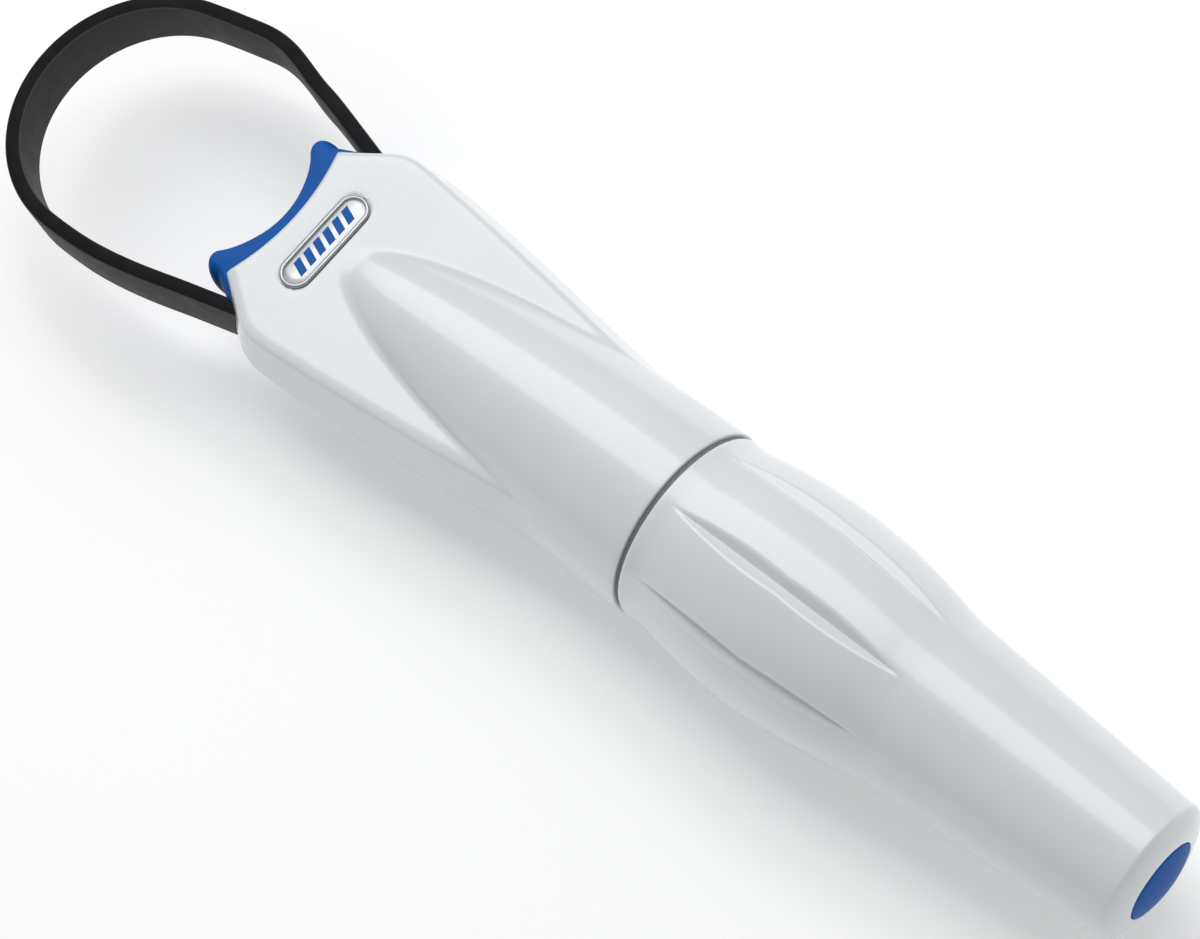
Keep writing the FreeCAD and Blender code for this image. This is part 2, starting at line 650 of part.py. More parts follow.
def make_grip_shell():
    body = doc.addObject("PartDesign::Body", "grip_blank")
    outside = [
        ("-seam_half_gap", "grip_front_radius - grip_wall"),
        ("-seam_half_gap", "grip_front_radius"),
        ("lobe_front", "lobe_front_radius"),
        ("lobe_rear", "lobe_rear_radius"),
        ("tail_station", "tail_radius"),
        ("tail_end + tail_round / 3", "tail_radius - tail_round / 4"),
        ("tail_end", "tail_face_radius"),
        ("cap_recess", "tail_face_radius"),
        ("cap_recess", "cap_opening"),
        ("tail_wall", "cap_opening"),
        ("tail_wall", "tail_radius - grip_wall"),
        ("lobe_rear", "lobe_rear_radius - grip_wall"),
    ]
    revolved(body, "grip_wall_turned", outside)
    crown = sketch_on(body, "crown_profile", "XZ_Plane")
    corners = [("lobe_front", "lobe_front_radius"), ("lobe_rear", "lobe_rear_radius"),
               ("lobe_rear", "lobe_rear_radius - grip_wall / 2"),
               ("lobe_front", "lobe_front_radius - grip_wall / 2")]
    points = [V(size(along), size(across), 0) for along, across in corners]
    middle = (points[0] + points[1]) * 0.5 + V(0, size("lobe_rise"), 0)
    crown.addGeometry(Part.Arc(points[0], middle, points[1]), False)
    for index in (1, 2, 3):
        crown.addGeometry(Part.LineSegment(points[index], points[(index + 1) % 4]), False)
    arc_first = 1 if crown.Geometry[0].StartPoint.distanceToPoint(points[0]) < 1 else 2
    crown.addConstraint(Sketcher.Constraint("Coincident", 0, arc_first, 3, 2))
    crown.addConstraint(Sketcher.Constraint("Coincident", 0, 3 - arc_first, 1, 1))
    crown.addConstraint(Sketcher.Constraint("Coincident", 1, 2, 2, 1))
    crown.addConstraint(Sketcher.Constraint("Coincident", 2, 2, 3, 1))
    for index, (along, across) in enumerate(corners[1:], start=1):
        pin_point(crown, index, along, across)
    for kind, text in (("DistanceX", "lobe_front"), ("DistanceY", "lobe_front_radius")):
        row = crown.addConstraint(Sketcher.Constraint(kind, 3, 2, size(text)))
        crown.setExpression("Constraints[%d]" % row, bound(text))
    half_chord = "(lobe_front - lobe_rear) / 2"
    rise = "%s * %s / (2 * lobe_rise) + lobe_rise / 2" % (half_chord, half_chord)
    row = crown.addConstraint(Sketcher.Constraint("Radius", 0, size(rise)))
    crown.setExpression("Constraints[%d]" % row, bound(rise))
    lobes = body.newObject("PartDesign::Revolution", "crown_turned")
    lobes.Profile = crown
    lobes.ReferenceAxis = (crown, ["H_Axis"])
    lobes.Angle = 360
    doc.recompute()

    cutter = doc.addObject("Part::Feature", "notches")
    cutter.Shape = notch_cutter()
    return subpart(cut("grip_shell", body, cutter), "grip_shell", size("lobe_turn"))


def notch_cutter():
    # shallow V-shaped notches; their bottoms rise from the base cone to just under the crown
    spread = size("notch_height") * math.tan(math.radians(size("notch_angle")))
    front, rear = size("lobe_front"), size("lobe_rear")
    front_low, rear_low = size("lobe_front_radius"), size("lobe_rear_radius")
    middle_low = (front_low + rear_low) / 2 + size("lobe_rise") - size("notch_depth")
    triangles = []
    for along, low in ((front, front_low), ((front + rear) / 2, middle_low), (rear, rear_low)):
        high = low + size("notch_height")
        corners = [V(along, 0, low), V(along, spread, high), V(along, -spread, high)]
        triangles.append(Part.makePolygon(corners + corners[:1]))
    count = int(size("lobe_count"))
    prisms = []
    for index in range(count):
        prism = Part.makeLoft(triangles, True, True)
        prism.rotate(V(0, 0, 0), V(1, 0, 0), 360 / count * index)
        prisms.append(prism)
    return Part.Compound(prisms)


def make_grip_inside():
    gap = "running_gap"
    cone = doc.addObject("Part::Cone", "core_cone")
    cone.setExpression("Radius1", bound("lobe_front_radius - grip_wall - %s" % gap))
    cone.setExpression("Radius2", bound("lobe_rear_radius - grip_wall - %s" % gap))
    cone.setExpression("Height", bound("lobe_front - lobe_rear"))
    cone.Placement = FreeCAD.Placement(V(0, 0, 0), FreeCAD.Rotation(V(0, 1, 0), -90))
    cone.setExpression(".Placement.Base.x", bound("lobe_front"))
    plate = rod("core_plate", "lobe_front_radius - grip_wall - %s" % gap, "core_plate",
                "core_front")
    barrel_rod = rod("core_barrel", "core_radius", "core_rear", "core_front")
    ribs = []
    count = int(size("core_ribs"))
    for index in range(count // 2):
        rib = doc.addObject("Part::Box", "core_rib_%d" % index)
        rib.setExpression("Length", bound("core_front - core_rear"))
        rib.setExpression("Width", bound("core_rib_width"))
        rib.setExpression("Height", bound("2 * seam_radius"))
        angle = 360 / count * index
        turn = FreeCAD.Rotation(V(1, 0, 0), angle)
        shift = turn.multVec(V(0, -size("core_rib_width") / 2, -size("seam_radius")))
        rib.Placement = FreeCAD.Placement(V(size("core_rear"), shift.y, shift.z), turn)
        ribs.append(rib)
    star = common("core_ribs_trimmed", [fused("core_star", ribs), cone])
    solid = fused("core_solid", [plate, barrel_rod, star])
    holes = fused("core_holes", [
        hexagon("core_socket", "hub_neck_radius + %s" % gap, "core_web", "core_front"),
        rod("core_screw_hole", "hub_screw_radius + 4 * %s" % gap, "core_rear", "core_web"),
        rod("core_neck", "hub_neck_radius + %s" % gap, "hub_neck_end - %s" % gap, "core_front")])
    subpart(cut("grip_core", solid, holes), "grip_core")

    seat = "core_rear - hub_washer_height"
    tube("hub_washer", "hub_washer_radius", "hub_screw_radius + 2 * %s" % gap, seat, "core_rear")
    bolt = fused("hub_bolt", [
        rod("hub_bolt_shank", "hub_screw_radius", seat, "hub_pilot_end - 1"),
        rod("hub_bolt_head", "hub_screw_head", "%s - hub_screw_head_height" % seat, seat)])
    socket = hexagon("hub_bolt_socket", "hub_screw_radius", "%s - hub_screw_head_height" % seat,
                     "%s - hub_screw_head_height / 3" % seat)
    subpart(cut("hub_screw", bolt, socket), "hub_screw")


def make_end_cap():
    rise = "(cap_rim_end - cap_top)"
    ball_radius = "(cap_radius * cap_radius + %s * %s) / (2 * %s)" % (rise, rise, rise)
    ball = doc.addObject("Part::Sphere", "cap_ball")
    ball.setExpression("Radius", bound(ball_radius))
    put(ball, ("cap_top + " + ball_radius, "0", "0"))
    disc = rod("cap_disc", "cap_radius", "cap_top", "cap_recess")
    dome = common("cap_dome", [ball, disc])
    skirt = cut("cap_skirt",
                rod("cap_skirt_skin", "cap_skirt_radius", "cap_recess", "cap_skirt_end"),
                rod("cap_skirt_bore", "cap_skirt_radius - cap_skirt_wall", "cap_recess",
                    "cap_skirt_end"))
    whole = fused("cap_solid", [dome, skirt])
    groove = doc.addObject("Part::Torus", "cap_groove")
    groove.setExpression("Radius1", bound("cap_ring_major"))
    groove.setExpression("Radius2", bound("cap_ring_minor + running_gap"))
    put(groove, ("cap_ring_station", "0", "0"), "x")
    subpart(cut("end_cap", whole, groove), "end_cap")
    ring = doc.addObject("Part::Torus", "cap_ring_torus")
    ring.setExpression("Radius1", bound("cap_ring_major"))
    ring.setExpression("Radius2", bound("cap_ring_minor"))
    put(ring, ("cap_ring_station", "0", "0"), "x")
    subpart(group("cap_ring_group", [ring]), "cap_ring")


def check_and_export():
    doc.recompute()
    for obj in doc.Objects:
        if "Invalid" in obj.State or "Error" in obj.State:
            raise RuntimeError("%s failed: %s" % (obj.Name, obj.State))
    os.makedirs("parts", exist_ok=True)
    for obj in subparts:
        shape = obj.Shape
        if shape.isNull() or not shape.isValid() or not shape.Solids:
            raise RuntimeError("%s has no valid solid" % obj.Label)
        shape.exportStep("parts/%s.step" % obj.Label)
        print(obj.Label, len(shape.Solids), round(shape.Volume, 1))


outer_housing = make_housing()
make_strap()
make_pad(outer_housing)
make_badge()
make_housing_fasteners()
make_drive_train()
make_carriage()
make_grip_shell()
make_grip_inside()
make_end_cap()
check_and_export()
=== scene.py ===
import math
import bmesh
import bpy
import numpy as np
from mathutils import Matrix, Vector


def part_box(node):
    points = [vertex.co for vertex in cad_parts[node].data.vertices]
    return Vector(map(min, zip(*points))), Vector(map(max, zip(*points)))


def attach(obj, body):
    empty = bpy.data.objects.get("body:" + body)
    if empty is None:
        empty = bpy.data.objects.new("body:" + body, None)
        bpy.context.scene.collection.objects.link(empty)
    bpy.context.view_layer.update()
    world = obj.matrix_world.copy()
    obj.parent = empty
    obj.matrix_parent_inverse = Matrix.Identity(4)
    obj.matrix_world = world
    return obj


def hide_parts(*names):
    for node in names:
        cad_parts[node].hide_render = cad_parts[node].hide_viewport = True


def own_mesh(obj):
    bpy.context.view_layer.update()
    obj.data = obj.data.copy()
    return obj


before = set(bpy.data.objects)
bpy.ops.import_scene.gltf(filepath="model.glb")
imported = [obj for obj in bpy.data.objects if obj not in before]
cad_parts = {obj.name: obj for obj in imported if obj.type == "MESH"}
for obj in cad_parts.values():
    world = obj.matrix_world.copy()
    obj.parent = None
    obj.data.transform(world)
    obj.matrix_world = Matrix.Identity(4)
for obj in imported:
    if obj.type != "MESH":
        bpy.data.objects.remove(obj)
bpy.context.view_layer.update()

# Strap jar opener. Sizes are in millimetres about the twist axis: x runs from the seam towards
# the strap loop, z is up, and the frame says where the seam and the axis lie.
mm = 0.001
ringLow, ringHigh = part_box("seam_ring")
seamX = ringLow.x + 0.4 * mm                      # the ring stands 0.4 mm behind the seam plane
axisZ = (ringLow.z + ringHigh.z) / 2


def inFrame(points):
    # millimetres about the twist axis to metres in the frame
    points = np.asarray(points, float) * mm
    return points + np.array([seamX, 0.0, axisZ])


def smoothStep(t):
    # 3 t squared less 2 t cubed, held at 0 and 1
    t = np.clip(t, 0, 1)
    return t * t * (3 - 2 * t)


def smoothMax(a, b, k):
    # the larger of two, rounded over a band of k
    h = np.maximum(k - np.abs(a - b), 0) / k
    return np.maximum(a, b) + h * h * k / 4


def smoothMin(a, b, k):
    return -smoothMax(-a, -b, k)


def curveThrough(x, stations, values):
    # natural cubic spline: second slopes m solve the usual three-band system
    px = np.asarray(stations, float)
    py = np.asarray(values, float)
    h = np.diff(px)
    n = len(px)
    system = np.eye(n)
    right = np.zeros(n)
    for i in range(1, n - 1):
        system[i, i - 1:i + 2] = h[i - 1], 2 * (h[i - 1] + h[i]), h[i]
        right[i] = 6 * ((py[i + 1] - py[i]) / h[i] - (py[i] - py[i - 1]) / h[i - 1])
    m = np.linalg.solve(system, right)
    i = np.clip(np.searchsorted(px, x) - 1, 0, n - 2)
    a = px[i + 1] - x
    b = x - px[i]
    w = h[i]
    return ((m[i] * a ** 3 + m[i + 1] * b ** 3) / (6 * w)
            + (py[i] / w - m[i] * w / 6) * a + (py[i + 1] / w - m[i + 1] * w / 6) * b)


def spans(*pieces):
    # joins (start, end, count) runs into one rising list
    runs = [np.linspace(a, b, n, endpoint=False) for a, b, n in pieces]
    return np.concatenate(runs + [np.array([pieces[-1][1]])])


def gridFaces(rows, columns, closeRows=False, closeColumns=False):
    # quads between neighbouring points of a grid, round to the start where a way is closed
    r = np.arange(rows if closeRows else rows - 1)
    c = np.arange(columns if closeColumns else columns - 1)
    rr, cc = np.meshgrid(r, c, indexing="ij")
    r2 = (rr + 1) % rows
    c2 = (cc + 1) % columns
    return np.stack([rr * columns + cc, r2 * columns + cc, r2 * columns + c2,
                     rr * columns + c2], -1).reshape(-1, 4)


def cappedEnds(grid):
    # a row at each end with every point at that end's middle closes a tube of rows
    first, last = (np.broadcast_to(row.mean(1, keepdims=True), row.shape)
                   for row in (grid[:1], grid[-1:]))
    return np.concatenate([first, grid, last])


def meshPiece(name, points, faces, sharp=35):
    # points in metres, faces as quads; welds poles and seams and turns the faces outwards
    mesh = bpy.data.meshes.new(name)
    points = np.asarray(points, np.float32).reshape(-1, 3)
    mesh.vertices.add(len(points))
    mesh.vertices.foreach_set("co", points.ravel())
    mesh.loops.add(faces.size)
    mesh.loops.foreach_set("vertex_index", faces.ravel().astype(np.int32))
    mesh.polygons.add(len(faces))
    mesh.polygons.foreach_set("loop_start", np.arange(0, faces.size, 4, dtype=np.int32))
    mesh.update(calc_edges=True)
    work = bmesh.new()
    work.from_mesh(mesh)
    bmesh.ops.remove_doubles(work, verts=work.verts, dist=2e-6)
    bmesh.ops.dissolve_degenerate(work, edges=work.edges, dist=1e-6)
    bmesh.ops.recalc_face_normals(work, faces=work.faces)
    work.to_mesh(mesh)
    work.free()
    finishShading(mesh, sharp)
    piece = bpy.data.objects.new(name, mesh)
    bpy.context.scene.collection.objects.link(piece)
    return piece


def finishShading(mesh, sharp):
    mesh.polygons.foreach_set("use_smooth", np.ones(len(mesh.polygons), bool))
    mesh.set_sharp_from_angle(angle=math.radians(sharp))
    mesh.update()


def applied(piece, sharp=35):
    # bakes the modifiers into the mesh
    bpy.context.view_layer.update()
    graph = bpy.context.evaluated_depsgraph_get()
    baked = bpy.data.meshes.new_from_object(piece.evaluated_get(graph))
    piece.modifiers.clear()
    piece.data = baked
    finishShading(baked, sharp)
    return piece


def cutWith(piece, cutters, sharp=35):
    for cutter in cutters:
        hole = piece.modifiers.new("hole", "BOOLEAN")
        hole.operation = "DIFFERENCE"
        hole.solver = "EXACT"
        hole.object = cutter
    applied(piece, sharp)
    for cutter in cutters:
        bpy.data.objects.remove(cutter)
    return piece


def dress(piece, material, body, slot, *nodes):
    # finish, body and slot of a piece, and the nodes that it stands for; the slot is not used
    piece.data.materials.clear()
    piece.data.materials.append(material)
    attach(piece, body)
    if nodes:
        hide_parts(*nodes)
    return piece


def turnedPiece(name, profile, columns=96):
    # a closed profile of (x, radius) points turned about the twist axis
    profile = np.asarray(profile, float)
    angle = np.linspace(0, 2 * math.pi, columns, endpoint=False)
    x = np.repeat(profile[:, :1], columns, 1)
    y = profile[:, 1:] * np.sin(angle)
    z = profile[:, 1:] * np.cos(angle)
    points = inFrame(np.stack([x, y, z], -1))
    ring = profile[0, 1] > 0 or profile[-1, 1] > 0    # ends on the axis close by themselves
    return meshPiece(name, points, gridFaces(len(profile), columns, ring, True))


def newMaterial(name, colour, roughness, **sockets):
    # other shader sockets are given by name, with _ for a space
    material = bpy.data.materials.new(name)
    material.use_nodes = True
    shader = material.node_tree.nodes["Principled BSDF"]
    shader.inputs["Base Color"].default_value = (*colour, 1)
    shader.inputs["Roughness"].default_value = roughness
    for socket, value in sockets.items():
        shader.inputs[socket.replace("_", " ")].default_value = value
    return material, material.node_tree, shader


def noiseOn(tree, scale, detail=3, stretch=(1, 1, 1)):
    # noise on Object coordinates
    place = tree.nodes.new("ShaderNodeTexCoord")
    mapping = tree.nodes.new("ShaderNodeMapping")
    mapping.inputs["Scale"].default_value = stretch
    noise = tree.nodes.new("ShaderNodeTexNoise")
    noise.inputs["Scale"].default_value = scale
    noise.inputs["Detail"].default_value = detail
    tree.links.new(place.outputs["Object"], mapping.inputs["Vector"])
    tree.links.new(mapping.outputs["Vector"], noise.inputs["Vector"])
    return noise.outputs["Fac"]


def ranged(tree, value, low, high, start=0.3, stop=0.7):
    # carries noise between start and stop to low and high
    node = tree.nodes.new("ShaderNodeMapRange")
    node.inputs["From Min"].default_value = start
    node.inputs["From Max"].default_value = stop
    node.inputs["To Min"].default_value = low
    node.inputs["To Max"].default_value = high
    tree.links.new(value, node.inputs["Value"])
    return node.outputs["Result"]


def tint(tree, shader, value, low, high):
    # base colour from low at 0 to high at 1
    mix = tree.nodes.new("ShaderNodeMix")
    mix.data_type = "RGBA"
    mix.inputs["A"].default_value = (*low, 1)
    mix.inputs["B"].default_value = (*high, 1)
    tree.links.new(value, mix.inputs["Factor"])
    tree.links.new(mix.outputs["Result"], shader.inputs["Base Color"])


def bump(tree, shader, value, strength, distance):
    node = tree.nodes.new("ShaderNodeBump")
    node.inputs["Strength"].default_value = strength
    node.inputs["Distance"].default_value = distance
    tree.links.new(value, node.inputs["Height"])
    tree.links.new(node.outputs["Normal"], shader.inputs["Normal"])


def whiteMoulding():
    # smooth pearl-white plastic with a faint spark-eroded grain
    material, tree, shader = newMaterial("whiteMoulding", (0.70, 0.73, 0.745), 0.34,
                                         Coat_Weight=1.0, Coat_Roughness=0.14, IOR=1.52)
    cloud = noiseOn(tree, 45, 4)
    tint(tree, shader, ranged(tree, cloud, 0, 1), (0.685, 0.715, 0.73), (0.71, 0.74, 0.755))
    grain = noiseOn(tree, 2600, 2)
    tree.links.new(ranged(tree, grain, 0.30, 0.39), shader.inputs["Roughness"])
    bump(tree, shader, grain, 0.12, 0.00004)
    return material


def blueRubber():
    # matt rubber, slightly cloudy, with a fine grain
    material, tree, shader = newMaterial("blueRubber", (0.0, 0.088, 0.37), 0.5,
                                         Specular_IOR_Level=0.16)
    cloud = noiseOn(tree, 120, 3)
    tint(tree, shader, ranged(tree, cloud, 0, 1), (0.0, 0.082, 0.35), (0.0, 0.094, 0.39))
    grain = noiseOn(tree, 3200, 2)
    bump(tree, shader, grain, 0.2, 0.00004)
    return material


def strapRubber():
    # woven core under a thin rubber skin: fine ribs along the strap from its own UV map, black
    # edges, a painted highlight line on the corners and warm grey faces from its own attribute
    material, tree, shader = newMaterial("strapRubber", (0.010, 0.010, 0.012), 0.55,
                                         Specular_IOR_Level=0.10)
    uv = tree.nodes.new("ShaderNodeUVMap")
    wave = tree.nodes.new("ShaderNodeTexWave")
    wave.wave_type = "BANDS"
    wave.bands_direction = "Y"
    wave.inputs["Scale"].default_value = 5.5
    wave.inputs["Distortion"].default_value = 0.6
    wave.inputs["Detail"].default_value = 2
    tree.links.new(uv.outputs["UV"], wave.inputs["Vector"])
    level = tree.nodes.new("ShaderNodeAttribute")
    level.attribute_name = "faceLevel"
    ramp = tree.nodes.new("ShaderNodeValToRGB")
    stops = ramp.color_ramp.elements
    stops[0].color = (0.004, 0.004, 0.006, 1)
    stops[1].color = (0.050, 0.046, 0.043, 1)
    # the lighter grey stop at 0.5, on the rounded corners, is a painted highlight line
    for position, grey in ((0.05, 0.006), (0.5, 0.09), (0.9, 0.048)):
        stops.new(position).color = (grey, grey, grey, 1)
    tree.links.new(level.outputs["Fac"], ramp.inputs["Fac"])
    tree.links.new(ramp.outputs["Color"], shader.inputs["Base Color"])
    cloud = noiseOn(tree, 260, 4)
    tree.links.new(ranged(tree, cloud, 0.48, 0.62), shader.inputs["Roughness"])
    bump(tree, shader, wave.outputs["Fac"], 0.25, 0.00006)
    return material


def pearlPlate():
    # pale coated metal with a fine grain along its length, and a painted shade that darkens it
    # towards the loop side
    material, tree, shader = newMaterial("pearlPlate", (0.80, 0.80, 0.81), 0.24,
                                         Metallic=0.3, Coat_Weight=0.6, Coat_Roughness=0.08)
    grain = noiseOn(tree, 1800, 2, (1, 0.1, 1))
    tree.links.new(ranged(tree, grain, 0.20, 0.30), shader.inputs["Roughness"])
    place = tree.nodes.new("ShaderNodeTexCoord")
    parts = tree.nodes.new("ShaderNodeSeparateXYZ")
    tree.links.new(place.outputs["Object"], parts.inputs["Vector"])
    station = seamX + badge["station"] * mm           # painted shade: the silver darkens towards the loop side
    shade = ranged(tree, parts.outputs["X"], 0, 1, station - 0.2 * mm, station + 2.8 * mm)
    tint(tree, shader, shade, (0.62, 0.63, 0.64), (0.26, 0.27, 0.285))
    return material


def metal(name, colour, roughness, scale, stretch, depth=0.00003):
    # bare metal, its grain stretched the way it was cut
    material, tree, shader = newMaterial(name, colour, roughness, Metallic=1.0)
    grain = noiseOn(tree, scale, 3, stretch)
    tree.links.new(ranged(tree, grain, roughness * 0.8, roughness * 1.25),
                   shader.inputs["Roughness"])
    bump(tree, shader, grain, 0.15, depth)
    return material


def matt(name, low, high, roughness):
    # moulded plastic or rubber that wanders between two close tones
    material, tree, shader = newMaterial(name, low, roughness)
    grain = noiseOn(tree, 900, 3)
    tint(tree, shader, ranged(tree, grain, 0, 1), low, high)
    tree.links.new(ranged(tree, grain, roughness * 0.9, roughness * 1.1),
                   shader.inputs["Roughness"])
    bump(tree, shader, grain, 0.2, 0.00005)
    return material


white = whiteMoulding()
blue = blueRubber()
rubber = strapRubber()
chrome = metal("chromeBezel", (0.42, 0.43, 0.45), 0.3, 700, (1, 1, 1), 0.00001)
steel = metal("zincSteel", (0.60, 0.60, 0.62), 0.32, 1400, (1, 0.2, 1))
brass = metal("machinedBrass", (0.72, 0.55, 0.25), 0.30, 1500, (8, 1, 1))
nylon = matt("glassNylon", (0.060, 0.064, 0.070), (0.085, 0.090, 0.098), 0.55)
acetal = matt("acetal", (0.62, 0.61, 0.57), (0.70, 0.69, 0.65), 0.4)
seamDark = matt("seamRubber", (0.15, 0.165, 0.175), (0.19, 0.205, 0.215), 0.6)
markInk, inkTree, inkShader = newMaterial("markInk", (0.0, 0.09, 0.38), 0.4,
                                          Specular_IOR_Level=0.15)
tint(inkTree, inkShader, ranged(inkTree, noiseOn(inkTree, 900), 0, 1),
     (0.0, 0.085, 0.36), (0.0, 0.095, 0.40))
print("materials made")


housing = dict(
    seamRadius=20.0, wall=1.6, flat=9.3, bow=923.5, drop=0.61, dropSpan=60.0,
    stations=(0.5, 24, 46, 68, 84, 96, 110), widths=(19.6, 20.2, 22.7, 25.2, 26.45, 26.3, 25.0),
    corner=(107.6, 17.7), shoulderSlope=0.653, mouth=104.1, bendStart=66.0,
    slantStations=(0.0, 80.0, 95.5), sideInset=3.3, shoulderInset=2.5, cornerInset=1.67,
    frontBack=2.0, backStart=84.0, insetStart=90.0, insetSpan=15.0, wallStart=0.93, footBow=0.06,
    edgeRound=2.6, creaseStart=0.35, creaseRound=0.6, creaseSpan=60.0, browRound=2.2,
    frontRoll=0.085, partGap=0.07, partTuck=0.007, partReach=0.3,
    boreRadius=17.2, boreDepth=3.5, boreLead=1.0, hollowFloor=-1.0,
    lip=((0.5, 17.7), (0.5, 19.2), (0.52, 19.75), (0.66, 19.93)),
    hollowLip=((2.4, 17.7), (2.4, 17.9)),
)


def barrelRadius(x, inset):
    # a bow of x squared and a steeper fall of x to the fourth near the head
    return (housing["seamRadius"] - inset - x ** 2 / housing["bow"]
            - housing["drop"] * (x / housing["dropSpan"]) ** 4)


def sideWidth(x, inset):
    # half width at the parting plane: the flank's curve until the slanted shoulder takes over
    cornerX, cornerY = housing["corner"]
    flank = curveThrough(x, housing["stations"], housing["widths"])
    shoulder = cornerY + housing["shoulderSlope"] * (cornerX - x)
    return smoothMin(flank, shoulder, housing["browRound"]) - inset


def headSection(outline, angle, inset):
    # radius of one cross-section at an angle from the y axis: a low trapezoid with rounded
    # edges, joined to the round barrel by a soft crease
    cornerX = housing["corner"][0]
    flat = housing["flat"] - inset
    width = sideWidth(outline, inset)
    slant = np.interp(outline, [*housing["slantStations"], cornerX],
                      [housing["sideInset"], housing["sideInset"], housing["shoulderInset"],
                       housing["cornerInset"]])
    bend = smoothStep((outline - housing["bendStart"]) / (cornerX - housing["bendStart"]))
    centre = outline - (cornerX - housing["mouth"]) * bend
    c = np.abs(np.cos(angle))
    s = np.maximum(np.sin(angle), 1e-4)
    side = width / (c + s * slant / flat)
    slab = smoothMin(side, flat / s, housing["edgeRound"])
    crease = smoothStep(outline / housing["creaseSpan"])
    soft = housing["creaseStart"] + housing["creaseRound"] * crease
    radius = smoothMax(slab, barrelRadius(centre, inset), soft)
    return radius, width, centre


badge = dict(
    station=93.1, halfLength=7.9, radius=3.6, spineGain=4.0, recess=0.5, recessLead=0.15,
    recessBlend=0.5, halo=0.16, haloWidth=2.4, rows=14, columns=120,
    plateInset=0.5, plateTop=0.82, plateFall=0.5, plateFoot=0.1,
    bezelRadius=0.45, bezelInset=0.42, bezelHeight=0.45,
    bars=6, barPitch=2.75, barWide=1.75, barReach=1.65, barSlant=0.6, barFoot=0.70, barTop=0.86,
)


def badgeDistance(x, y):
    # distance outside the round-ended badge, negative inside it
    along = np.maximum(np.abs(y) - badge["halfLength"], 0)
    return np.hypot(x - badge["station"], along) - badge["radius"]


def housingGrid(outline, quarter, inset, floor, lip, withBadge):
    # one half as a closed grid: columns go over the top from +y to -y and come back along the
    # floor, rows go from the seam face to the front wall
    cornerX = housing["corner"][0]
    outline = outline[:, None]
    angle = np.concatenate([quarter, math.pi - quarter[-2::-1]])[None, :]
    radius, width, centre = headSection(outline, angle, inset)
    y = radius * np.cos(angle)
    z = radius * np.sin(angle)
    # the last millimetre rolls over the front edge
    roll = np.clip(outline - (cornerX - 1), 0, 1)
    z = z * (1 - housing["frontRoll"] * (1 - np.sqrt(1 - roll ** 2)))
    backStart = housing["backStart"]
    back = housing["frontBack"] * smoothStep((outline - backStart) / (cornerX - backStart))
    lean = (z / housing["flat"]) ** 2
    x = centre + (outline - centre) * (y / width) ** 2 - back * lean
    x = x - inset * smoothStep((outline - housing["insetStart"]) / housing["insetSpan"])
    if withBadge:
        away = badgeDistance(x, y)
        ledge = smoothStep((away + badge["recessLead"]) / badge["recessBlend"])
        z = z - badge["recess"] * (1 - ledge)
        z = z - badge["halo"] * (1 - smoothStep(away / badge["haloWidth"]))
    rows = np.stack([x, y, np.maximum(z, 0)], -1)

    # rounded lip at the seam, its face closed down to the parting plane
    lipRadius = np.array(lip)[:, 1:]
    lipX = np.array(lip)[:, :1] + 0 * angle
    lipRows = np.stack([lipX, lipRadius * np.cos(angle), lipRadius * np.sin(angle)], -1)
    seamFace = lipRows[:1] * np.array([1, 1, 0]) + np.array([0, 0, floor])

    # the front wall falls from the last section to the parting plane
    share = spans((housing["wallStart"], 0, 12))[:, None]
    wallZ = rows[-1:, :, 2] * share
    wallY = np.repeat(y[-1:], len(share), 0)
    wallX = rows[-1:, :, 0] + back[-1] * (1 - share ** 2) * lean[-1:]
    wall = np.stack([wallX, wallY, wallZ], -1)
    foot = wall[-1:] + np.array([0, 0, floor])

    over = np.concatenate([seamFace, lipRows, rows, wall, foot])
    under = over.copy()
    under[-len(share) - 2:, :, :2] = foot[..., :2]
    # the lip's rows share one plane, so below they bow apart to keep some area
    bow = housing["footBow"] * np.arange(1, len(lip) + 1)[:, None] * np.sin(angle) ** 2
    under[1:1 + len(lip), :, 0] += bow
    under[..., 2] = floor
    return np.concatenate([over, under[:, ::-1]], 1)


def housingHalf(name, upper):
    # one half and its hollow; rows and columns crowd where the creases and the badge lie
    cornerX = housing["corner"][0]
    outline = spans((0.9, 70, 84), (70, 84, 26), (84, 102, 66), (102, cornerX - 1, 14),
                    (cornerX - 1, cornerX, 7))
    quarter = spans((0, 0.03, 4), (0.03, 0.25, 11), (0.25, 0.68, 27), (0.68, math.pi / 2, 30))
    grid = housingGrid(outline, quarter, 0, 0.0, housing["lip"], upper)
    # a fine step at the parting edge, drawn in over a fraction of a millimetre
    tuck = housing["partTuck"] * np.exp(-(grid[..., 2] / housing["partReach"]) ** 2)
    grid[..., 1] *= 1 - tuck
    grid[..., 2] += housing["partGap"]

    hollowRows = spans((3.0, 84, 40), (84, cornerX, 26))
    hollowColumns = spans((0, 0.25, 5), (0.25, 0.68, 12), (0.68, math.pi / 2, 12))
    hollow = housingGrid(hollowRows, hollowColumns, housing["wall"], housing["hollowFloor"],
                         housing["hollowLip"], False)
    sign = 1 if upper else -1
    pieces = []
    for label, points in ((name, grid), (name + "Hollow", hollow)):
        points[..., 2] *= sign
        pieces.append(meshPiece(label, inFrame(points), gridFaces(*points.shape[:2], False, True)))
    return pieces


strapShape = dict(
    loopStation=146.3, loopRadius=26.0, flatEnd=140.0, bendRadius=95.0, angle=14.5,
    thickness=3.2, width=11.4, anchorStation=64.3, stubPoints=5, showFrom=93.0, exit=102.0,
    chamfer=0.45, slotGap=0.45, slotCorner=0.9, slotStart=90.0, slotEnd=118.0, slotPoints=8,
    drift=1.7, driftStart=112.0, bulge=2.3, bulgeStart=119.0, softSpan=34.0,
    mapCentre=130.0, mapRadius=3.0, keep=0.66,
)


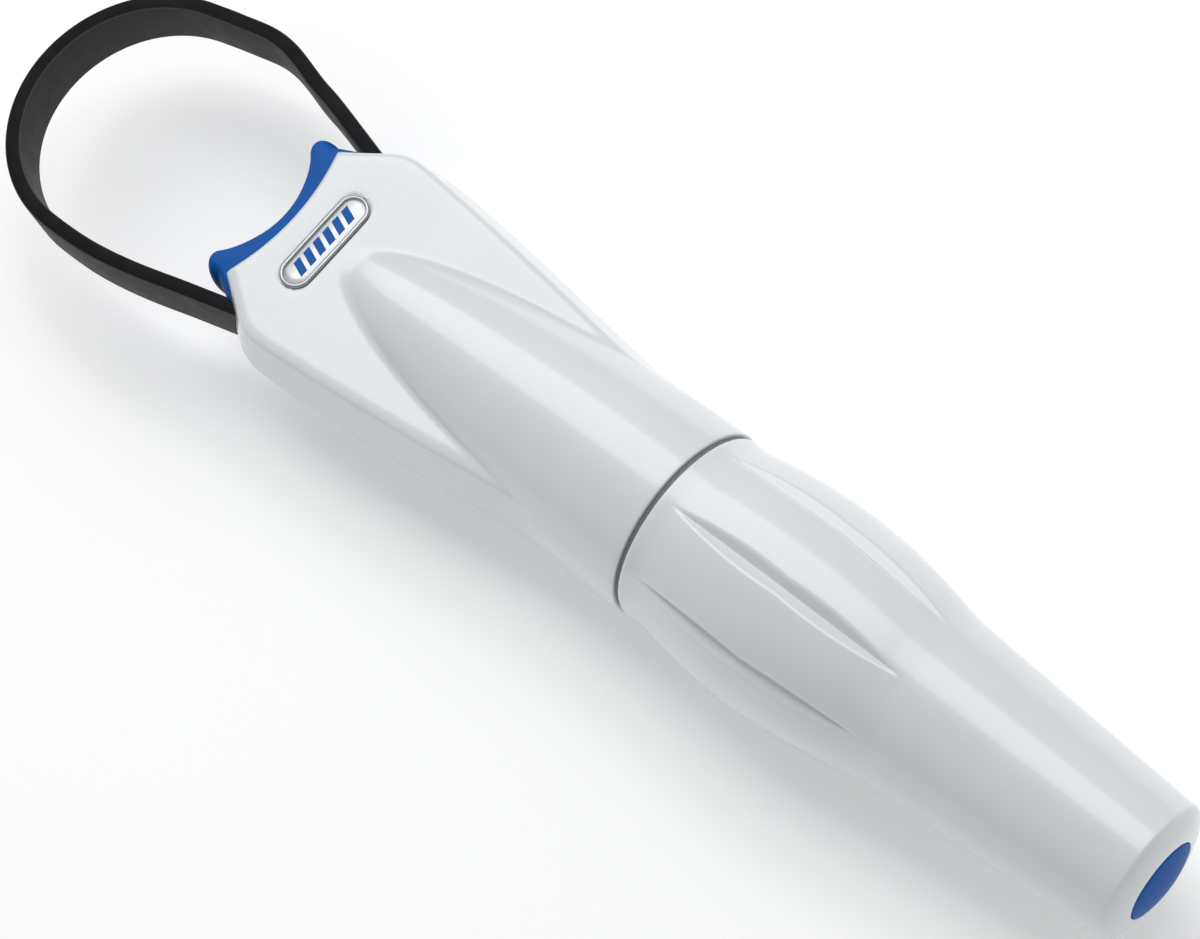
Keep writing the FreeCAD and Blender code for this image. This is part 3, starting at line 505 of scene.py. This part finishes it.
def strapLine(offset, start, step=0.9):
    # one long line of the strap from start on the +y side round the loop to the -y side:
    # straight, an arc of the bend radius, a short flat and half a turn, then mirrored
    s = strapShape
    tilt = math.radians(s["angle"])
    bend = s["bendRadius"] + offset
    centre = np.array([s["flatEnd"], s["loopRadius"] - s["bendRadius"]])
    bendEnd = centre + bend * np.array([-math.sin(tilt), math.cos(tilt)])
    reach = (bendEnd[0] - start) / math.cos(tilt)
    tail = bendEnd - reach * np.array([math.cos(tilt), math.sin(tilt)])
    straight = tail + (bendEnd - tail) * np.linspace(0, 1, max(int(reach / 2), 4))[:-1, None]
    turn = np.linspace(tilt, 0, int(bend * tilt / step))[:-1]
    arc = centre + bend * np.stack([-np.sin(turn), np.cos(turn)], -1)
    radius = s["loopRadius"] + offset
    flat = np.stack([np.linspace(s["flatEnd"], s["loopStation"], 6)[:-1],
                     np.full(5, radius)], -1)
    sweep = np.linspace(math.pi / 2, 0, 44)
    nose = np.stack([s["loopStation"] + radius * np.cos(sweep), radius * np.sin(sweep)], -1)
    half = np.concatenate([straight, arc, flat, nose])
    other = half[-2::-1] * np.array([1, -1])
    return np.concatenate([half, other])


def roundedBox(halfThick, halfWide, chamfer, corner=4):
    # closed section of (across, up) points with rounded corners
    points = []
    for cx, cy, first in ((1, 1, 0), (-1, 1, 90), (-1, -1, 180), (1, -1, 270)):
        turn = np.radians(np.linspace(first, first + 90, corner))
        points.append(np.stack([cx * (halfThick - chamfer) + chamfer * np.cos(turn),
                                cy * (halfWide - chamfer) + chamfer * np.sin(turn)], -1))
    return np.concatenate(points)


def sweptBand(name, line, section):
    # carries a closed section of (outwards, up) points along a line in the z = 0 plane
    ahead = np.gradient(line, axis=0)
    ahead /= np.linalg.norm(ahead, axis=1, keepdims=True)
    outward = np.stack([-ahead[:, 1], ahead[:, 0]], -1)
    across = line[:, None, :] + outward[:, None, :] * section[None, :, :1]
    up = np.broadcast_to(section[None, :, 1], across.shape[:2])
    grid = cappedEnds(np.concatenate([across, up[..., None]], -1))
    return meshPiece(name, inFrame(grid), gridFaces(*grid.shape[:2], False, True))


def slotCutter(side):
    # a rounded bar along the strap where it leaves the shoulder
    s = strapShape
    line = strapLine(s["thickness"] / 2, s["slotStart"])[:s["slotPoints"]]
    line = line[line[:, 0] < s["slotEnd"]] * np.array([1, side])
    section = roundedBox(s["thickness"] / 2 + s["slotGap"], s["width"] / 2 + s["slotGap"],
                         s["slotCorner"])
    return sweptBand("slotCutter", line, section)


def upright(name, x, y, profile, columns=40):
    # a closed profile of (height, radius) turned about an upright line
    profile = np.asarray(profile, float)
    angle = np.linspace(0, 2 * math.pi, columns, endpoint=False)
    ring = np.stack([x + profile[:, 1:] * np.cos(angle), y + profile[:, 1:] * np.sin(angle),
                     profile[:, :1] + 0 * angle], -1)
    return meshPiece(name, inFrame(ring), gridFaces(len(profile), columns, False, True))


def seamBore():
    # a plain plug opens the hollow at the seam
    start, end, radius = -housing["boreLead"], housing["boreDepth"], housing["boreRadius"]
    return turnedPiece("seamBore", [(start, 0), (start, radius), (end, radius), (end, 0)])


wellShape = dict(spots=((44, 17.4), (44, -17.4), (92, 8), (92, -8)), radius=2.4, low=-14.0,
                 high=-4.9)


def headWell(x, y):
    # the round well below one screw's head
    low, high, radius = wellShape["low"], wellShape["high"], wellShape["radius"]
    return upright("headWell", x, y, [(low, 0), (low, radius), (high, radius), (high, 0)])


housingTop, hollow = housingHalf("housingTop", True)
cutWith(housingTop, [hollow, seamBore(), slotCutter(1), slotCutter(-1)])
dress(housingTop, white, "housing", "shell_white", "housing_top")

housingBottom, hollow = housingHalf("housingBottom", False)
wells = [headWell(x, y) for x, y in wellShape["spots"]]
cutWith(housingBottom, [hollow, seamBore(), slotCutter(1), slotCutter(-1)] + wells)
dress(housingBottom, white, "housing", "shell_white", "housing_bottom")
print("front housing made:", len(housingTop.data.polygons), len(housingBottom.data.polygons))


def pillGrid(profile):
    # profile is (distance out, height) from the middle outwards, carried round the pill
    angle = np.linspace(0, 2 * math.pi, badge["columns"], endpoint=False)
    towards = np.stack([np.sin(angle), np.cos(angle)], -1)
    lean = np.clip(badge["spineGain"] * towards[:, 1], -1, 1)
    spine = badge["halfLength"] * lean
    profile = np.asarray(profile, float)
    x = badge["station"] + profile[:, :1] * towards[:, 0]
    y = spine + profile[:, :1] * towards[:, 1]
    z = profile[:, 1:] + 0 * angle
    return np.stack([x, y, z], -1)


pearl = pearlPlate()
floorZ = housing["flat"] - badge["recess"]
inner = badge["radius"] - badge["plateInset"]
plateFoot = floorZ - badge["plateFoot"]
t = np.linspace(0, 1, badge["rows"])
plateTop = floorZ + badge["plateTop"] - badge["plateFall"] * t ** 5
plateProfile = np.concatenate([
    np.stack([inner * t, plateTop], -1), [[inner, plateFoot], [0, plateFoot]]])
plate = pillGrid(plateProfile)
badgePlate = meshPiece("badgePlate", inFrame(plate), gridFaces(*plate.shape[:2], False, True))
dress(badgePlate, pearl, "housing", "badge_white", "badge_plate")

around = np.linspace(0, 2 * math.pi, 13)[:-1]
bezelOut = badge["radius"] - badge["bezelInset"] + badge["bezelRadius"] * np.cos(around)
bezelUp = floorZ + badge["bezelHeight"] + badge["bezelRadius"] * np.sin(around)
bezelProfile = np.stack([bezelOut, bezelUp], -1)
bezel = pillGrid(bezelProfile)
badgeBezel = meshPiece("badgeBezel", inFrame(bezel), gridFaces(*bezel.shape[:2], True, True))
dress(badgeBezel, chrome, "housing", "bezel_chrome", "badge_bezel")


def makeBadgeMark():
    # slanted bars stand a little proud of the plate; each is a box sheared along y
    points, faces = [], []
    for i in range(badge["bars"]):
        middle = (i - (badge["bars"] - 1) / 2) * badge["barPitch"]
        first = len(points)
        for dx in (-1, 1):
            for dy, height in ((-1, "barFoot"), (1, "barFoot"), (1, "barTop"), (-1, "barTop")):
                x = badge["station"] + dx * badge["barReach"]
                y = middle + dy * badge["barWide"] / 2 - dx * badge["barSlant"]
                points.append((x, y, floorZ + badge[height]))
        for face in ((0, 1, 2, 3), (7, 6, 5, 4), (0, 4, 5, 1), (1, 5, 6, 2), (2, 6, 7, 3),
                     (3, 7, 4, 0)):
            faces.append([first + corner for corner in face])
    return meshPiece("badgeMark", inFrame(points), np.array(faces))


badgeMark = makeBadgeMark()
dress(badgeMark, markInk, "housing", "badge_blue", "badge_mark")
print("badge made")


pad = dict(
    stand=2.4, lobeStation=109.8, lobeWidth=15.0, lobeRadius=3.3, lobeTurn=2.0, halfHeight=7.4,
    depth=3.42, tail=(101.8, 20.9), crown=0.875, lobeCrown=0.625, lobeFrom=6.0, lobeBlend=9.0,
    edgeRound=0.8, backHalf=11.0, backShare=0.8, backStand=4.0,
)


def padLine():
    # the pad's front edge at the parting plane: up the shoulder, round the lobe, along the
    # concave mouth, and the same again mirrored
    lobe = np.array([pad["lobeStation"], pad["lobeWidth"]])
    mouth = housing["mouth"] + pad["stand"]
    reach = lobe[0] - mouth
    radius = ((reach ** 2 + lobe[1] ** 2 - pad["lobeRadius"] ** 2)
              / (2 * (reach + pad["lobeRadius"])))
    centre = np.array([mouth + radius, 0.0])
    towards = (centre - lobe) / np.linalg.norm(centre - lobe)
    touch = math.atan2(towards[1], towards[0])
    tail = np.array(pad["tail"])
    first = pad["lobeTurn"]                           # where the shoulder line meets the lobe
    tip = lobe + pad["lobeRadius"] * np.array([math.cos(first), math.sin(first)])
    side = tail + (tip - tail) * np.linspace(0, 1, 12)[:-1, None]
    turn = np.linspace(first, touch, 30)[:-1]
    lobeArc = lobe + pad["lobeRadius"] * np.stack([np.cos(turn), np.sin(turn)], -1)
    start = math.atan2(*(lobe + pad["lobeRadius"] * towards - centre)[::-1])
    sweep = np.linspace(start, math.pi, 46)
    mouthArc = centre + radius * np.stack([np.cos(sweep), np.sin(sweep)], -1)
    half = np.concatenate([side, lobeArc, mouthArc])
    other = half[-2::-1] * np.array([1, -1])
    return np.concatenate([half, other]), centre[0], radius


def makePad():
    line, centreX, radius = padLine()
    ahead = np.gradient(line, axis=0)
    ahead /= np.linalg.norm(ahead, axis=1, keepdims=True)
    inward = np.stack([ahead[:, 1], -ahead[:, 0]], -1)
    lobeNear = smoothStep((np.abs(line[:, 1]) - pad["lobeFrom"]) / pad["lobeBlend"])
    up = np.sin(np.linspace(-math.pi / 2, math.pi / 2, 25))
    # the face falls back by the square of the height, and its two edges by a rounding of their own
    front = (pad["crown"] + pad["lobeCrown"] * lobeNear[:, None]) * up[None, :] ** 2
    edge = pad["edgeRound"] * (1 - np.sqrt(np.maximum(1 - np.abs(up) ** 7, 0)))[None, :]
    depthIn = np.minimum(front + edge, pad["depth"])
    height = pad["halfHeight"] * up[None, :] + 0 * line[:, :1]
    face = line[:, None, :] + inward[:, None, :] * depthIn[..., None]
    # the back edge follows the mouth's circle inside the housing, so the pad fills up to it
    backY = np.clip(pad["backShare"] * line[:, 1], -pad["backHalf"], pad["backHalf"])
    backX = centreX - np.sqrt(radius ** 2 - backY ** 2) - pad["stand"] - pad["backStand"]
    rear = np.stack([backX, backY], -1)[:, None, :] + 0 * face
    grid = np.concatenate([
        np.concatenate([face, height[..., None]], -1),
        np.concatenate([rear, height[..., None]], -1)[:, ::-1]], 1)
    grid = cappedEnds(grid)
    return meshPiece("saddlePad", inFrame(grid), gridFaces(*grid.shape[:2], False, True), 50)


saddlePad = makePad()
dress(saddlePad, blue, "housing", "soft_blue", "saddle_pad")
print("saddle pad made")


def addStrapMaps(piece):
    # u is the angle about a point inside the loop times a radius, v the height, in centimetres
    mesh = piece.data
    layer = mesh.uv_layers.new(name="UVMap")
    co = np.zeros(len(mesh.vertices) * 3, np.float32)
    mesh.vertices.foreach_get("co", co)
    co = co.reshape(-1, 3)
    index = np.zeros(len(mesh.loops), np.int32)
    mesh.loops.foreach_get("vertex_index", index)
    at = co[index]
    centreX = seamX + strapShape["mapCentre"] * mm
    along = np.arctan2(at[:, 1], at[:, 0] - centreX) * strapShape["mapRadius"]
    layer.data.foreach_set("uv", np.stack([along, (at[:, 2] - axisZ) * 100], -1).ravel())
    # 0 on the flat edges, 1 on the wide faces and between them on the rounded corners
    inside = strapShape["width"] / 2 * mm - np.abs(co[:, 2] - axisZ)
    level = mesh.attributes.new("faceLevel", "FLOAT", "POINT")
    level.data.foreach_set("value", np.clip(inside / (strapShape["chamfer"] * mm), 0, 1))


def makeStrap():
    s = strapShape
    section = roundedBox(s["thickness"] / 2, s["width"] / 2, s["chamfer"])
    line = strapLine(s["thickness"] / 2, s["showFrom"])
    # the soft band hangs a little askew: it drifts to +y, and its -y leg bulges by a sine squared
    reach = np.clip((line[:, 0] - s["bulgeStart"]) / s["softSpan"], 0, 1)
    bulge = np.where(line[:, 1] < 0, s["bulge"] * np.sin(math.pi * reach) ** 2, 0)
    drift = s["drift"] * smoothStep((line[:, 0] - s["driftStart"]) / s["softSpan"])
    line[:, 1] += drift - bulge
    loop = sweptBand("strapLoop", line, section)
    addStrapMaps(loop)
    dress(loop, rubber, "housing", "strap_black", "strap")
    # a short stub at each anchor pin travels with the carriage
    stub = strapLine(s["thickness"] / 2, s["anchorStation"])[:s["stubPoints"]]
    for side, label in ((1, "Left"), (-1, "Right")):
        tail = sweptBand("strapTail" + label, stub * np.array([1, side]), section)
        addStrapMaps(tail)
        dress(tail, rubber, "carriage", "strap_black")
    return loop


strapLoop = makeStrap()
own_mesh(strapLoop)
print("strap made")


grip = dict(
    front=-0.5, frontRadius=19.8, lobeFront=-4.2, lobeFrontRadius=19.45, lobeRear=-54.9,
    lobeRearRadius=17.75, rise=3.0, lobes=8, turn=7.3, notchAngle=46.0, notchDepth=1.25,
    notchFloor=0.12, notchRound=0.35, notchFade=0.6, startRound=0.8, evenShare=0.30,
    tailStation=-106.2, tailRadius=13.9, tailEnd=-108.9, tailBend=1.24, tailFall=1.25,
    faceRadius=8.2, capSeat=-108.0,
    inner=((-105.7, 7.2), (-105.5, 11.3), (-54.9, 15.35), (-4.2, 17.05), (-0.55, 17.4)),
    lip=((-0.5, 17.6), (-0.5, 19.3), (-0.55, 19.6)),
)


def baseCone(x):
    # the radius under the lobes runs straight from one station to the next
    g = grip
    return np.interp(-x, [-g["front"], -g["lobeFront"], -g["lobeRear"], -g["tailStation"]],
                     [g["frontRadius"], g["lobeFrontRadius"], g["lobeRearRadius"],
                      g["tailRadius"]])


def gripRadius(x, angle):
    # a crown of 1 - t squared between the two ends of the lobes, cut by shallow V notches whose
    # bottoms rise from the base cone to just under the crown; angle 0 is the middle of a notch
    g = grip
    middle = (g["lobeFront"] + g["lobeRear"]) / 2
    half = (g["lobeFront"] - g["lobeRear"]) / 2
    t = (x - middle) / half
    crown = smoothMax(g["rise"] * (1 - t ** 2), 0 * x, g["startRound"])
    base = baseCone(x)
    apart = np.abs(angle) * base
    slope = 1 / math.tan(math.radians(g["notchAngle"]))
    notch = slope * (np.sqrt(apart ** 2 + g["notchFloor"] ** 2) - g["notchFloor"])
    notch = notch + (g["rise"] - g["notchDepth"]) * np.maximum(1 - np.abs(t), 0)
    cut = np.maximum(crown - smoothMin(crown, notch, g["notchRound"]), 0)
    return base + crown - smoothStep(crown / g["notchFade"]) * cut


def makeGrip():
    g = grip
    # columns crowd towards the middle of each notch
    share = np.linspace(-1, 1, 45)[:-1]
    even = g["evenShare"]
    local = math.pi / g["lobes"] * (even * share + (1 - even) * share ** 3)
    centres = np.arange(g["lobes"]) * 2 * math.pi / g["lobes"] + math.radians(g["turn"])
    angle = (centres[:, None] + local[None, :]).ravel()
    fold = np.tile(local, g["lobes"])
    x = -spans((0.9, 60, 118), (60, -g["tailStation"], 44))[:, None]
    skin = gripRadius(x, fold[None, :])
    # the tail rounds over, then slopes to the cap: powers of a sine and a cosine
    turn = np.linspace(0, math.pi / 2, 22)[1:]
    reach = np.sin(turn) ** g["tailBend"]
    fall = np.maximum(np.cos(turn), 0) ** g["tailFall"]
    tailX = g["tailStation"] + (g["tailEnd"] - g["tailStation"]) * reach
    tailR = g["faceRadius"] + (g["tailRadius"] - g["faceRadius"]) * fall
    seat = [(g["tailEnd"] + 0.12, g["faceRadius"] - 0.1), (g["capSeat"], g["faceRadius"] - 0.15),
            (g["capSeat"], g["inner"][0][1])]
    fixed = np.concatenate([np.stack([tailX, tailR], -1), seat, g["inner"]])
    rows = [np.stack([np.broadcast_to(x, skin.shape), skin * np.sin(angle), skin * np.cos(angle)],
                     -1)]
    for block, first in ((fixed, False), (np.array(g["lip"]), True)):
        ring = np.stack([block[:, :1] + 0 * angle, block[:, 1:] * np.sin(angle),
                         block[:, 1:] * np.cos(angle)], -1)
        rows = [ring] + rows if first else rows + [ring]
    grid = np.concatenate(rows)
    return meshPiece("gripShell", inFrame(grid), gridFaces(*grid.shape[:2], True, True), 40)


gripShell = makeGrip()
dress(gripShell, white, "grip", "shell_white", "grip_shell")


endCapShape = dict(seat=-108.02, rimRadius=7.9, rimEnd=-109.0, top=-110.3, skirtRadius=7.1,
                   skirtWall=1.2, skirtEnd=-102.0)


def makeEndCap():
    # a shallow ball cap on a short rim, with a tube skirt behind it
    c = endCapShape
    rise = c["rimEnd"] - c["top"]
    ball = (c["rimRadius"] ** 2 + rise ** 2) / (2 * rise)
    edge = math.asin((c["rimRadius"] - 0.2) / ball)
    lift = np.linspace(0, edge, 22)
    dome = np.stack([c["top"] + ball * (1 - np.cos(lift)), ball * np.sin(lift)], -1)
    rim = [(c["rimEnd"] + 0.08, c["rimRadius"] - 0.04), (c["rimEnd"] + 0.25, c["rimRadius"]),
           (c["seat"], c["rimRadius"]), (c["seat"], c["skirtRadius"]),
           (c["skirtEnd"], c["skirtRadius"]),
           (c["skirtEnd"], c["skirtRadius"] - c["skirtWall"]),
           (c["seat"] + 0.6, c["skirtRadius"] - c["skirtWall"]), (c["seat"] + 0.6, 0)]
    return turnedPiece("endCap", np.concatenate([dome, np.array(rim)]), 120)


endCap = makeEndCap()
dress(endCap, blue, "grip", "soft_blue", "end_cap")
print("grip and end cap made")


finishes = {
    "strap_guide_pins": steel, "housing_screws": steel,
    "locating_dowels": steel, "rear_bush": acetal, "thrust_washer": steel,
    "front_bush": acetal, "seam_ring": seamDark, "grip_core": nylon, "drive_hub": nylon,
    "cross_pin": steel, "lead_screw": steel, "hub_washer": steel, "hub_screw": steel,
    "cap_ring": seamDark, "carriage_block": nylon, "travelling_nut": brass, "nut_ring": steel,
    "strap_anchor_pins": steel,
}
for node, material in finishes.items():
    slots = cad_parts[node].data.materials
    for index in range(len(slots)):
        slots[index] = material


studio = dict(floorSize=4.0, floorColour=(0.93, 0.93, 0.93), floorGlow=0.16,
              floorDrop=0.0002, worldColour=(0.97, 0.985, 1.0), worldStrength=0.47)


def makeFloor():
    size = studio["floorSize"] / 2
    mesh = bpy.data.meshes.new("floor")
    mesh.from_pydata([(-size, -size, 0), (size, -size, 0), (size, size, 0), (-size, size, 0)],
                     [], [(0, 1, 2, 3)])
    floor = bpy.data.objects.new("floor", mesh)
    bpy.context.scene.collection.objects.link(floor)
    paint = newMaterial("floorPaint", studio["floorColour"], 0.9, Emission_Color=(1, 1, 1, 1),
                        Emission_Strength=studio["floorGlow"])[0]
    mesh.materials.append(paint)
    floor.location.z = -studio["floorDrop"]


def makeWorld():
    world = bpy.data.worlds.new("studio")
    world.use_nodes = True
    back = world.node_tree.nodes["Background"]
    back.inputs["Color"].default_value = (*studio["worldColour"], 1)
    back.inputs["Strength"].default_value = studio["worldStrength"]
    bpy.context.scene.world = world


lamps = dict(
    keyStrip=dict(direction=(0.42, -0.33, 0.85), distance=1.3, width=1.9, height=0.85,
                  power=11.5),
    sideSheet=dict(direction=(0.1, -0.75, 0.6), distance=1.5, width=1.8, height=0.9, power=1.5),
)


def softBox(name, direction, distance, width, height, power):
    # a rectangle of light that looks at the tool; its width lies along x
    light = bpy.data.lights.new(name, "AREA")
    light.shape = "RECTANGLE"
    light.size = width
    light.size_y = height
    light.energy = power
    lamp = bpy.data.objects.new(name, light)
    bpy.context.scene.collection.objects.link(lamp)
    towards = Vector(direction).normalized()
    side = Vector((1, 0, 0)) - towards * towards.x
    side.normalize()
    lamp.matrix_world = Matrix.Translation(Vector((0, 0, axisZ)) + towards * distance) @ Matrix(
        (side, towards.cross(side), towards)).transposed().to_4x4()


cameraShape = dict(place=(-228.5, 104.65, 536.75), target=(21.14, 1.45, 0.0), roll=28.2,
                   lens=96.48)


def makeCamera():
    data = bpy.data.cameras.new("camera")
    data.lens = cameraShape["lens"]
    data.sensor_width = 36
    data.clip_start = 0.01
    camera = bpy.data.objects.new("camera", data)
    bpy.context.scene.collection.objects.link(camera)
    place = Vector(inFrame([cameraShape["place"]])[0])
    target = Vector(inFrame([cameraShape["target"]])[0])
    look = (target - place).normalized()
    right = look.cross(Vector((0, 0, 1))).normalized()
    up = right.cross(look)
    roll = math.radians(cameraShape["roll"])
    newRight = right * math.cos(roll) - up * math.sin(roll)
    newUp = up * math.cos(roll) + right * math.sin(roll)
    turn = Matrix((newRight, newUp, -look)).transposed()
    camera.matrix_world = Matrix.Translation(place) @ turn.to_4x4()
    bpy.context.scene.camera = camera


makeFloor()
makeWorld()
for label, lamp in lamps.items():
    softBox(label, **lamp)
makeCamera()
bpy.context.scene.view_settings.view_transform = "Standard"
print("studio made")
